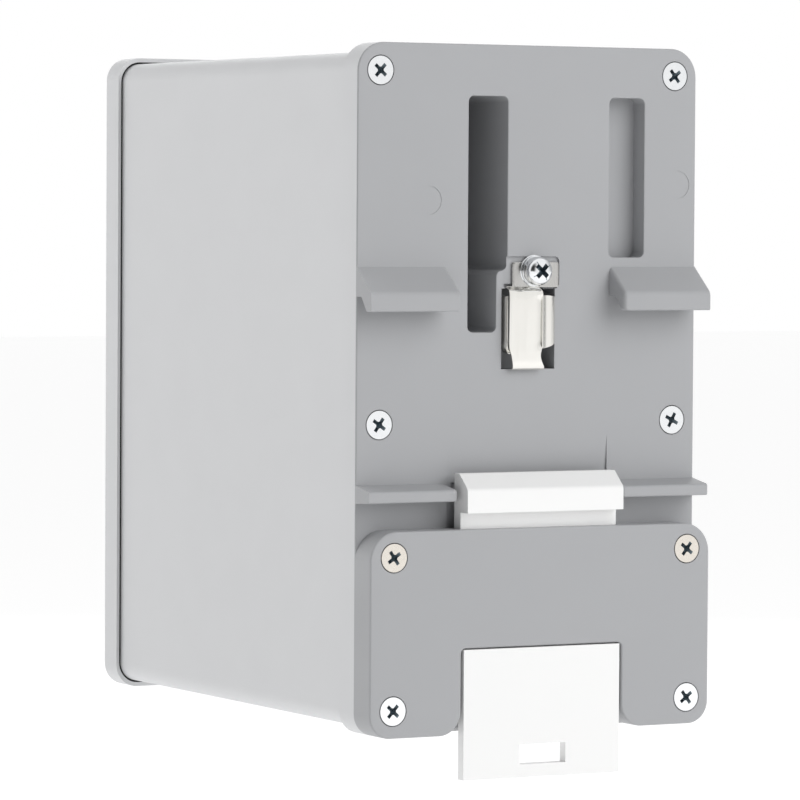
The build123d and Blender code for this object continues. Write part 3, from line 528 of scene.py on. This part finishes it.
class Tree:
    """Small helper for writing a Geometry Nodes tree top to bottom."""

    def __init__(self, name, **sizes):
        self.group = bpy.data.node_groups.new(name, "GeometryNodeTree")
        face = self.group.interface
        face.new_socket("Geometry", in_out="INPUT", socket_type="NodeSocketGeometry")
        face.new_socket("Geometry", in_out="OUTPUT", socket_type="NodeSocketGeometry")
        for label, value in sizes.items():
            face.new_socket(label.replace("_", " "), in_out="INPUT",
                            socket_type="NodeSocketFloat").default_value = value
        face.new_socket("Finish", in_out="INPUT", socket_type="NodeSocketMaterial")
        self.start = self.group.nodes.new("NodeGroupInput")
        self.end = self.group.nodes.new("NodeGroupOutput")

    def size(self, label):
        return self.start.outputs[label]

    def add(self, kind, into=None, out=0, **settings):
        """Add a node, wire or set its inputs by name, and return one of its outputs."""
        node = self.group.nodes.new(kind)
        for key, value in settings.items():
            setattr(node, key, value)
        for key, value in (into or {}).items():
            socket = node.inputs[key]
            if isinstance(value, bpy.types.NodeSocket):
                self.group.links.new(value, socket)
            else:
                socket.default_value = value
        return node.outputs[out]

    def sum(self, first, second):
        return self.add("ShaderNodeMath", {0: first, 1: second}, operation="ADD")

    def less(self, first, second):
        return self.add("ShaderNodeMath", {0: first, 1: second}, operation="SUBTRACT")

    def times(self, first, factor):
        return self.add("ShaderNodeMath", {0: first, 1: factor}, operation="MULTIPLY")

    def moved(self, geometry, z):
        return self.add("GeometryNodeTransform", {"Geometry": geometry, "Translation": self.vector(z=z)})

    def cylinder(self, sides, radius, depth):
        return self.add("GeometryNodeMeshCylinder", {"Vertices": sides, "Radius": radius, "Depth": depth})

    def cone(self, sides, bottom, top, depth):
        return self.add("GeometryNodeMeshCone",
                        {"Vertices": sides, "Radius Bottom": bottom, "Radius Top": top, "Depth": depth})

    def vector(self, x=0.0, y=0.0, z=0.0):
        return self.add("ShaderNodeCombineXYZ", {"X": x, "Y": y, "Z": z})

    def join(self, *parts):
        node = self.group.nodes.new("GeometryNodeJoinGeometry")
        for part in reversed(parts):
            self.group.links.new(part, node.inputs[0])
        return node.outputs[0]

    def cut(self, body, *tools, operation="DIFFERENCE"):
        """Exact boolean of closed meshes: a difference, union or intersection."""
        node = self.group.nodes.new("GeometryNodeMeshBoolean")
        node.solver = "EXACT"
        node.operation = operation
        if operation == "DIFFERENCE":
            self.group.links.new(body, node.inputs["Mesh 1"])
        else:
            self.group.links.new(body, node.inputs["Mesh 2"])
        for tool in tools:
            self.group.links.new(tool, node.inputs["Mesh 2"])
        return node.outputs["Mesh"]

    def on_points(self, shape):
        """Copy a shape to every incoming point, turned by the point's own turn attribute."""
        turn = self.add("GeometryNodeInputNamedAttribute", {"Name": "turn"}, data_type="FLOAT_VECTOR")
        return self.add("GeometryNodeInstanceOnPoints",
                        {"Points": self.start.outputs["Geometry"], "Instance": shape, "Rotation": turn})

    def close(self, geometry):
        real = self.add("GeometryNodeRealizeInstances", {"Geometry": geometry})
        done = self.add("GeometryNodeSetMaterial", {"Geometry": real, "Material": self.size("Finish")})
        self.group.links.new(done, self.end.inputs[0])
        return self.group


def points_mesh(name, places):
    """Mesh of loose points; each place is a position in millimetres and a turn in radians."""
    mesh = bpy.data.meshes.new(name)
    mesh.from_pydata([mm(*place) for place, _ in places], [], [])
    turns = mesh.attributes.new("turn", "FLOAT_VECTOR", "POINT")
    for row, (_, turn) in zip(turns.data, places):
        row.vector = turn
    return mesh


# ---------------------------------------------------------------- countersunk screws
def countersunk_tree():
    """Countersunk screw along -Z with its head in the XY plane and a cruciform recess."""
    t = Tree("countersunk_screws", Head_Radius=0.00266, Head_Depth=0.0014, Rim=0.0003, Shank_Radius=0.0015,
             Length=0.012, Recess_Width=0.003, Recess_Depth=0.0017, Wing=0.00068)
    head_radius = t.size("Head Radius")
    shank_radius = t.size("Shank Radius")
    recess_depth = t.size("Recess Depth")
    rim = t.moved(t.cylinder(72, head_radius, t.size("Rim")), t.times(t.size("Rim"), -0.5))
    drop = t.sum(t.size("Rim"), t.size("Head Depth"))
    head = t.moved(t.cone(72, shank_radius, head_radius, t.size("Head Depth")), t.times(drop, -1))
    shank_middle = t.times(t.sum(t.size("Length"), drop), -0.5)
    shank = t.moved(t.cylinder(36, shank_radius, t.less(t.size("Length"), drop)), shank_middle)
    body = t.cut(rim, head, shank, operation="UNION")
    wing = t.vector(t.size("Recess Width"), t.size("Wing"), t.times(recess_depth, 2))
    first = t.add("GeometryNodeMeshCube", {"Size": wing})
    second = t.add("GeometryNodeTransform", {"Geometry": first, "Rotation": (0, 0, math.pi / 2)})
    core = t.cylinder(24, t.times(t.size("Wing"), 0.95), recess_depth)
    cross = t.cut(first, second, core, operation="UNION")
    taper = t.cone(48, t.times(t.size("Wing"), 0.4), t.times(t.size("Recess Width"), 0.52), recess_depth)
    recess = t.cut(cross, t.moved(taper, t.times(recess_depth, -0.97)), operation="INTERSECT")
    return t.close(t.on_points(t.cut(body, recess)))


# Depths and reaches, in millimetres, of the painted shade on the walls of each driver recess.
RECESS_MOUTH = 0.06         # the head's face itself stays bright down to this depth
RECESS_WINGS = (1.1, 1.75)  # down to the first depth the wings reach out to the second
RECESS_CORE = 1.2           # and below it only the core is left


def darken_recess(piece, places, depth, facing):
    """Give the walls of each driver recess a dark finish: painted shade, together with the dull residue that
    plating leaves there.
    """
    piece.data.materials.append(finish["recess_residue_and_shade"])
    for polygon in piece.data.polygons:
        centre = polygon.center / MM
        for x, face, z in places:
            below = (face - centre.y) * facing
            out = math.hypot(centre.x - x, centre.z - z)
            reach = RECESS_WINGS[1] if below < RECESS_WINGS[0] else RECESS_CORE
            if RECESS_MOUTH < below < depth and out < reach:
                polygon.material_index = 1


COUNTERSUNK_RECESS = 1.72


def place_screws(name, tree, rows, face, facing, length, slot, node):
    """Screws at (x, z, turn in degrees), their heads flush with face and facing +Y or -Y."""
    tip = -math.pi / 2 * facing
    places = [((x, face, z), (tip, math.radians(turn), 0)) for x, z, turn in rows]
    mesh = grown(name, points_mesh(name, places), tree, {"Length": length * MM, "Finish": finish[slot]})
    piece = settle(name, mesh, slot)
    # The recess walls get the painted-shade finish.
    darken_recess(piece, [place for place, _ in places], COUNTERSUNK_RECESS, facing)
    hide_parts(node)


# ---------------------------------------------------------------- earth contact
EARTH = (-0.95, 22.35)      # x and z of the earth screw's axis
LEAF_THICKNESS = 0.32
FOOT_THICKNESS = 0.24
SIDE_DIP = 0.42             # how far the face's right-hand band drops


def sheet_of(rows, thickness, name, levels=2):
    """Strip of metal through rows of (x, y, z) points, thickened away from the rail and rounded."""
    mesh = bpy.data.meshes.new(name)
    width = len(rows[0])
    faces = [(r * width + c, r * width + c + 1, (r + 1) * width + c + 1, (r + 1) * width + c)
             for r in range(len(rows) - 1) for c in range(width - 1)]
    mesh.from_pydata([mm(*point) for row in rows for point in row], [], faces)
    piece = bpy.data.objects.new(name, mesh)
    bpy.context.scene.collection.objects.link(piece)
    soften = piece.modifiers.new("soften", "SUBSURF")
    soften.levels = soften.render_levels = levels
    wall = piece.modifiers.new("wall", "SOLIDIFY")
    wall.thickness = thickness * MM
    wall.offset = -1.0
    edge = piece.modifiers.new("edge", "BEVEL")
    edge.width = 0.06 * MM
    edge.segments = 2
    edge.limit_method = "ANGLE"
    edge.angle_limit = math.radians(60)
    return baked(piece)


def joined(name, meshes):
    """One mesh with all the faces of several."""
    work = bmesh.new()
    for mesh in meshes:
        work.from_mesh(mesh)
    result = bpy.data.meshes.new(name)
    work.to_mesh(result)
    work.free()
    return result


def unlinked(objects):
    """Remove helper objects once the piece made with them is baked."""
    for thing in objects:
        bpy.data.objects.remove(thing)


def leaf_face():
    """Neck, broad face with a dipped right-hand band, and tongue; rows are (z, left, right, y)."""
    neck = [(19.3, 5.0, -2.1, -0.02), (19.1, 5.0, -2.1, 0.05), (18.8, 5.0, -2.1, 0.6),
            (18.5, 5.1, -2.1, 1.25), (18.2, 5.15, -2.1, 1.48), (17.8, 5.15, -2.15, 1.54)]
    broad = [(17.2, 5.15, -2.2, 1.55), (16.6, 5.15, -2.2, 1.55), (13.0, 5.15, -2.2, 1.5),
             (9.6, 5.15, -2.2, 1.46), (8.4, 5.15, -2.2, 1.44)]
    tongue = [(7.6, 5.05, -2.05, 1.43), (7.0, 4.85, -1.8, 1.42), (6.3, 4.6, -1.7, 1.4),
              (5.3, 4.4, -1.95, 1.38), (4.4, 4.25, -2.45, 1.33), (4.0, 4.2, -2.72, 1.2),
              (3.85, 4.2, -2.75, 0.7)]
    rows = []
    for z, left, right, y in neck + broad + tongue:
        dip = SIDE_DIP if 8.0 < z < 17.5 else 0.0
        shares = ((0, 0), (0.02, 0), (0.08, 0), (0.4, 0), (0.72, 0), (0.8, -0.06 * dip), (0.92, -0.5 * dip),
                  (0.98, -dip), (1, -1.2 * dip))
        rows.append([(left + (right - left) * share, y + rise, z) for share, rise in shares])
    return sheet_of(rows, LEAF_THICKNESS, "leaf_face")


def leaf_roll():
    """Right-hand side rolled over towards the plate, with a rounded lower end."""
    section = [(-2.2, 0.85), (-2.28, 1.45), (-2.5, 1.68), (-3.2, 1.74), (-3.9, 1.68), (-4.5, 1.35),
               (-4.95, 0.85), (-5.15, 0.2), (-5.15, -0.8)]
    rows = []
    for share in (0, 0.03, 0.12, 0.35, 0.65, 0.88, 0.97, 1):
        row = []
        for index, (x, y) in enumerate(section):
            top = 17.75 - 0.12 * max(0, index - 3)
            foot = 7.6 + 0.036 * index ** 2
            row.append((x, y, top + (foot - top) * share))
        rows.append(row)
    return sheet_of(rows, LEAF_THICKNESS, "leaf_roll")


def leaf_flange():
    """Left-hand side folded back, swelling outwards near its lower end."""
    rows = []
    for z, swell in ((17.55, -0.05), (17.3, 0), (14, 0), (10, 0), (8.9, 0.03), (8.2, 0.1), (7.6, 0.02),
                     (7.0, -0.35), (6.8, -0.5)):
        rows.append([(5.16 + swell * 0.3, 1.12, z), (5.22 + swell * 0.6, 1.4, z), (5.36 + swell, 1.42, z),
                     (5.46 + swell, 1.2, z), (5.5 + swell, 0.4, z), (5.48 + swell, -0.75, z)])
    return sheet_of(rows, LEAF_THICKNESS, "leaf_flange")


def make_earth_leaf():
    mesh = joined("earth_leaf_strip", [leaf_face(), leaf_roll(), leaf_flange()])
    strip = settle("earth_leaf_strip", mesh, "nickel_strip", body=None, smooth_degrees=50)
    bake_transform(strip)
    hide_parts("earth_contact_leaf")


def make_earth_foot():
    """Flat foot under the screw, folded slightly down at both sides, with a clearance hole."""
    columns = ((3.65, -0.16), (2.1, -0.03), (1.86, 0.0), (-1.15, 0.0), (-5.04, 0.0), (-5.28, -0.03),
               (-6.45, -0.14))
    rows = [[(x, y, z) for x, y in columns] for z in (24.0, 23.9, 21.9, 19.35, 19.25)]
    mesh = sheet_of(rows, FOOT_THICKNESS, "foot_sheet", levels=1)
    foot = bpy.data.objects.new("foot", mesh)
    bpy.context.scene.collection.objects.link(foot)
    drill = turned("drill", [(0, -2), (1.7, -2), (1.7, 2), (0, 2)], 40, EARTH)
    drilled = bpy.data.objects.new("drill", drill)
    bpy.context.scene.collection.objects.link(drilled)
    hole = foot.modifiers.new("hole", "BOOLEAN")
    hole.object = drilled
    mesh = baked(foot)
    unlinked([drilled])
    piece = settle("earth_foot_plate", mesh, "nickel_strip")
    piece.data.materials[0] = finish["nickel_foot"]
    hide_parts("earth_contact_base")


def solid_of(name, work):
    """Mesh of a bmesh whose faces are turned outwards; the bmesh is freed."""
    bmesh.ops.recalc_face_normals(work, faces=work.faces)
    mesh = bpy.data.meshes.new(name)
    work.to_mesh(mesh)
    work.free()
    return mesh


def turned(name, profile, sides, place):
    """Solid turned about an axis along Y through place (x, z); the profile is (radius, y)."""
    work = bmesh.new()
    rings = []
    for radius, y in profile:
        if radius == 0:
            rings.append([work.verts.new(mm(place[0], y, place[1]))])
            continue
        ring = []
        for side in range(sides):
            angle = math.tau * side / sides
            ring.append(work.verts.new(mm(place[0] + radius * math.cos(angle), y,
                                          place[1] + radius * math.sin(angle))))
        rings.append(ring)
    is_ring = profile[0][0] != 0
    followers = rings[1:] + (rings[:1] if is_ring else [])
    for first, second in zip(rings, followers):
        for side in range(sides):
            after = (side + 1) % sides
            if len(first) == 1:
                work.faces.new((first[0], second[side], second[after]))
            elif len(second) == 1:
                work.faces.new((first[side], second[0], first[after]))
            else:
                work.faces.new((first[side], second[side], second[after], first[after]))
    return solid_of(name, work)


def split_washer(name, place, inner, outer, y0, y1):
    """Spring washer: a chamfered ring cut through and twisted apart at the cut."""
    work = bmesh.new()
    steps = 96
    cut_at = math.radians(200)
    gap = math.radians(7)
    twist = 0.16
    chamfer = 0.08
    middle = (y0 + y1) / 2
    section = ((inner, y0 + chamfer), (inner + chamfer, y0), (outer - chamfer, y0), (outer, y0 + chamfer),
               (outer, y1 - chamfer), (outer - chamfer, y1), (inner + chamfer, y1), (inner, y1 - chamfer))
    rings = []
    for step in range(steps + 1):
        angle = cut_at + gap + (math.tau - 2 * gap) * step / steps
        lift = twist * (step / steps - 0.5)
        ring = []
        for radius, y in section:
            squeezed = middle + (y - middle) * 0.8 + lift
            ring.append(work.verts.new(mm(place[0] + radius * math.cos(angle), squeezed,
                                          place[1] + radius * math.sin(angle))))
        rings.append(ring)
    for first, second in zip(rings, rings[1:]):
        for side in range(len(section)):
            after = (side + 1) % len(section)
            work.faces.new((first[side], first[after], second[after], second[side]))
    work.faces.new(rings[0])
    work.faces.new(list(reversed(rings[-1])))
    return solid_of(name, work)


def recess_wing(width, depth, wing, move):
    """Tapered blade that cuts one bar of a cruciform recess, from above the head downwards."""
    work = bmesh.new()
    half = width / 2
    thin = wing / 2
    corners = [(-half, 0.6, thin), (half, 0.6, thin),
               (half * 0.92, -0.25 * depth, thin * 0.95), (thin, -depth, thin * 0.8),
               (-thin, -depth, thin * 0.8), (-half * 0.92, -0.25 * depth, thin * 0.95)]
    near = [work.verts.new(mm(x, y, z)) for x, y, z in corners]
    far = [work.verts.new(mm(x, y, -z)) for x, y, z in corners]
    work.faces.new(near)
    work.faces.new(list(reversed(far)))
    for index in range(len(corners)):
        after = (index + 1) % len(corners)
        work.faces.new((near[index], far[index], far[after], near[after]))
    work.transform(move)
    return solid_of("recess_wing", work)


def driven(mesh, place, face, width, depth, wing, turn):
    """Cut a cruciform driver recess into a turned head that faces +Y."""
    head = bpy.data.objects.new("head", mesh)
    bpy.context.scene.collection.objects.link(head)
    cutters = []
    for extra in (0, 90):
        spin = Matrix.Rotation(math.radians(turn + extra), 4, "Y")
        move = Matrix.Translation(mm(place[0], face, place[1])) @ spin
        cutter = bpy.data.objects.new("cutter", recess_wing(width, depth, wing, move))
        bpy.context.scene.collection.objects.link(cutter)
        cutters.append(cutter)
        head.modifiers.new("recess", "BOOLEAN").object = cutter
    result = baked(head)
    unlinked(cutters)
    return result


WASHER_TOP = 1.2
PAN_HEIGHT = 2.3
PAN_RECESS = 1.62


def make_earth_screw():
    """Pan-head screw with a flat washer and a spring washer under it."""
    seat = WASHER_TOP
    top = seat + PAN_HEIGHT
    pan = [(0, top), (1.0, top), (1.6, top - 0.05), (2.08, top - 0.22), (2.42, top - 0.5),
           (2.64, top - 0.95), (2.72, top - 1.5), (2.72, seat + 0.1), (2.62, seat)]
    shank = [(1.5, seat), (1.5, -9.2), (1.1, -9.6), (0, -9.6)]
    head = turned("earth_screw_head", pan + shank, 72, EARTH)
    head = driven(head, EARTH, top, width=3.3, depth=1.6, wing=0.95, turn=47)
    flat = turned("flat_washer", [(1.6, 0.05), (1.65, 0.0), (2.95, 0.0), (3.03, 0.08), (3.03, 0.42),
                                  (2.95, 0.5), (1.65, 0.5), (1.6, 0.45)], 72, EARTH)
    spring = split_washer("spring_washer", EARTH, 1.65, 2.86, 0.52, 1.18)
    mesh = joined("earth_screw_with_washers", [head, flat, spring])
    piece = settle("earth_screw_with_washers", mesh, "zinc_steel")
    # The recess walls get the painted-shade finish.
    darken_recess(piece, [(EARTH[0], top, EARTH[1])], PAN_RECESS, 1)
    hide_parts("earth_screw", "earth_flat_washer", "earth_spring_washer")


# ---------------------------------------------------------------- jack contacts
JACK_ROOF = 4.45        # from a socket's middle to the roof of its opening
CONSOLE_ROOF = 4.05
ROOF_GAP = 0.35
WIRE_SETBACK = 1.6


def contact_wire_tree():
    """Eight sprung wires side by side, sloping in from each incoming point."""
    t = Tree("jack_contact_wires", Pitch=0.00102, Wire_Radius=0.00021, Reach=0.0085, Drop=0.0026)
    half = t.times(t.size("Reach"), 0.35)
    end = t.vector(0, t.size("Reach"), t.times(t.size("Drop"), -1))
    line = t.add("GeometryNodeCurveQuadraticBezier",
                 {"Resolution": 10, "Start": (0, 0, 0), "Middle": t.vector(0, half, 0), "End": end})
    ring = t.add("GeometryNodeCurvePrimitiveCircle", {"Resolution": 8, "Radius": t.size("Wire Radius")})
    wire = t.add("GeometryNodeCurveToMesh", {"Curve": line, "Profile Curve": ring, "Fill Caps": True})
    first = t.vector(t.times(t.size("Pitch"), -3.5))
    comb = t.add("GeometryNodeMeshLine",
                 {"Count": 8, "Start Location": first, "Offset": t.vector(t.size("Pitch"))})
    row = t.add("GeometryNodeInstanceOnPoints", {"Points": comb, "Instance": wire})
    return t.close(t.on_points(row))


def make_jack_contacts():
    roofs = {f"port_jack_{number}": JACK_ROOF for number in range(1, 9)}
    roofs["console_jack"] = CONSOLE_ROOF
    places = []
    for jack, roof in roofs.items():
        low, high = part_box(jack)
        middle = [(a + b) / 2 / MM for a, b in zip(low, high)]
        places.append(((middle[0], low[1] / MM + WIRE_SETBACK, middle[2] + roof - ROOF_GAP), (0, 0, 0)))
    mesh = grown("jack_contact_wires", points_mesh("jack_contact_wires", places), contact_wire_tree(),
                 {"Finish": finish["gold_pin"]})
    settle("jack_contact_wires", mesh, "gold_pin")


# ---------------------------------------------------------------- foot springs
SPRING_PLACES = ((-8.0, 0.95, -46.65), (8.0, 0.95, -46.65))


def coil_spring_tree():
    """Compression spring standing on each incoming point, with a closed coil at either end."""
    t = Tree("coil_springs", Coil_Radius=0.00155, Wire_Radius=0.00029, Height=0.0133, Open_Turns=7.0)
    radius = t.size("Coil Radius")
    closed = t.times(t.size("Wire Radius"), 2.05)
    middle = t.less(t.size("Height"), t.times(closed, 2))
    turns = []
    for rise, rotations, start in ((closed, 1.0, 0.0), (middle, t.size("Open Turns"), closed),
                                   (closed, 1.0, t.sum(closed, middle))):
        coil = t.add("GeometryNodeCurveSpiral", {"Resolution": 28, "Rotations": rotations, "Height": rise,
                                                 "Start Radius": radius, "End Radius": radius})
        ring = t.add("GeometryNodeCurvePrimitiveCircle", {"Resolution": 10, "Radius": t.size("Wire Radius")})
        wire = t.add("GeometryNodeCurveToMesh", {"Curve": coil, "Profile Curve": ring, "Fill Caps": True})
        turns.append(t.moved(wire, start))
    return t.close(t.on_points(t.join(*turns)))


def make_foot_springs():
    places = [(place, (0, 0, 0)) for place in SPRING_PLACES]
    mesh = grown("foot_springs", points_mesh("foot_springs", places), coil_spring_tree(),
                 {"Finish": finish["spring_steel"]})
    piece = settle("foot_springs", mesh, "spring_steel")
    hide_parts("latch_springs")
    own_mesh(piece)


# ---------------------------------------------------------------- port numbers
PANEL_FACE = -108.9
DIGIT_HEIGHT = 3.4
DIGIT_X = 9.1
INK_THICKNESS = 0.02


def print_port_numbers():
    """Plain numerals 1 to 8 beside the sockets, as a thin layer of ink on the film."""
    meshes = []
    for number in range(1, 9):
        low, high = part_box(f"port_jack_{number}")
        side = 1 if low[0] + high[0] > 0 else -1
        curve = bpy.data.curves.new("numeral", "FONT")
        curve.body = str(number)
        curve.size = DIGIT_HEIGHT * MM
        curve.align_x = "CENTER"
        curve.align_y = "CENTER"
        curve.extrude = INK_THICKNESS * MM
        curve.resolution_u = 4
        numeral = bpy.data.objects.new("numeral", curve)
        bpy.context.scene.collection.objects.link(numeral)
        mesh = baked(numeral)
        upright = Matrix.Rotation(math.pi / 2, 4, "X")
        place = mm(side * DIGIT_X, PANEL_FACE - 0.01, (low[2] + high[2]) / 2 / MM)
        mesh.transform(Matrix.Translation(place) @ upright)
        meshes.append(mesh)
    piece = settle("port_numbers", joined("port_numbers", meshes), "panel_film")
    piece.data.materials[0] = finish["panel_print"]


# ---------------------------------------------------------------- fasteners
COVER_FACE = 6.08
OVERLAY_BACK = -107.9
# Each row is x, z and the turn of the driver recess in degrees.
PLATE_SCREWS = ((32.1, 59.75, 48), (-32.1, 59.75, 38), (32.0, -6.4, 55), (-32.0, -6.4, 62))
FOOT_SCREWS = ((32.0, -59.5, 48), (-32.0, -59.5, 38))
COVER_SCREWS = ((31.9, -30.9, 35), (-31.9, -30.9, 52))
FRONT_SCREWS = ((30.2, 56.9, 12), (-30.2, 56.9, 70), (30.2, -56.9, 33), (-30.2, -56.9, 51))


def make_fasteners():
    tree = countersunk_tree()
    place_screws("plate_fixing_screws", tree, PLATE_SCREWS, 0, 1, 12, "zinc_steel", "plate_screws")
    place_screws("foot_fixing_screws", tree, FOOT_SCREWS, COVER_FACE, 1, 18, "zinc_steel",
                 "long_plate_screws")
    place_screws("cover_fixing_screws", tree, COVER_SCREWS, COVER_FACE, 1, 7.5, "nickel_steel",
                 "cover_screws")
    place_screws("front_fixing_screws", tree, FRONT_SCREWS, OVERLAY_BACK, -1, 9.2, "zinc_steel",
                 "front_screws")


place_camera()
light_studio()
lay_floor()
dress_cad_nodes()
make_fasteners()
make_earth_foot()
make_earth_leaf()
make_earth_screw()
make_jack_contacts()
print_port_numbers()
make_foot_springs()
